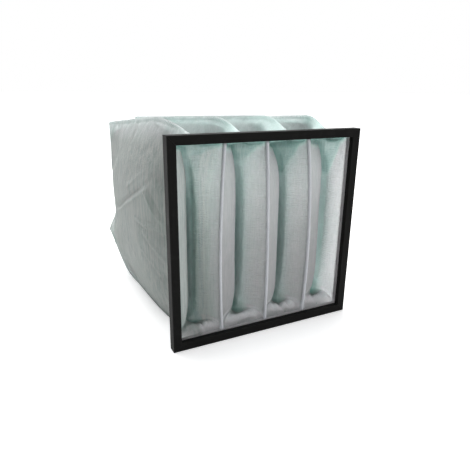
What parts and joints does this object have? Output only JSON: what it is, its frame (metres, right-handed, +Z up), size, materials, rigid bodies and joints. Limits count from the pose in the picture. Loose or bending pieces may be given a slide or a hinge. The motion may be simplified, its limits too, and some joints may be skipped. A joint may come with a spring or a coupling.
{
  "type": "bag air filter",
  "caption": "Square ventilation filter: fabric pockets clamped in a black plastic header frame, open at the front and closed by a seam at the rear.",
  "frame": {"origin": "middle of the underside of the header's bottom rail, half way through the header's depth", "axes": "+Z up along the header, +Y downstream from the header's face towards the rear of the pockets, +X to the right seen from the air inlet"},
  "size_m": [0.4983, 0.6238, 0.5149],
  "materials": {
    "frame": "black extruded plastic, satin",
    "clamp_strip": "black extruded plastic, satin",
    "corner_key": "black moulded plastic",
    "media": "non-woven synthetic fibre, white with a mint cast, calendered outside",
    "binding": "white non-woven tape"
  },
  "bodies": {
    "root": {"top_rail": "frame", "bottom_rail": "frame", "left_rail": "frame", "right_rail": "frame", "top_clamp_strip": "clamp_strip", "bottom_clamp_strip": "clamp_strip", "left_clamp_strip": "clamp_strip", "right_clamp_strip": "clamp_strip", "corner_key_top_left": "corner_key", "corner_key_top_right": "corner_key", "corner_key_bottom_left": "corner_key", "corner_key_bottom_right": "corner_key", "pocket_1_left": "media", "pocket_1_right": "media", "pocket_2_left": "media", "pocket_2_right": "media", "pocket_3_left": "media", "pocket_3_right": "media", "pocket_4_left": "media", "pocket_4_right": "media", "seam_binding_1": "binding", "seam_binding_2": "binding", "seam_binding_3": "binding"}
  },
  "joints": []
}
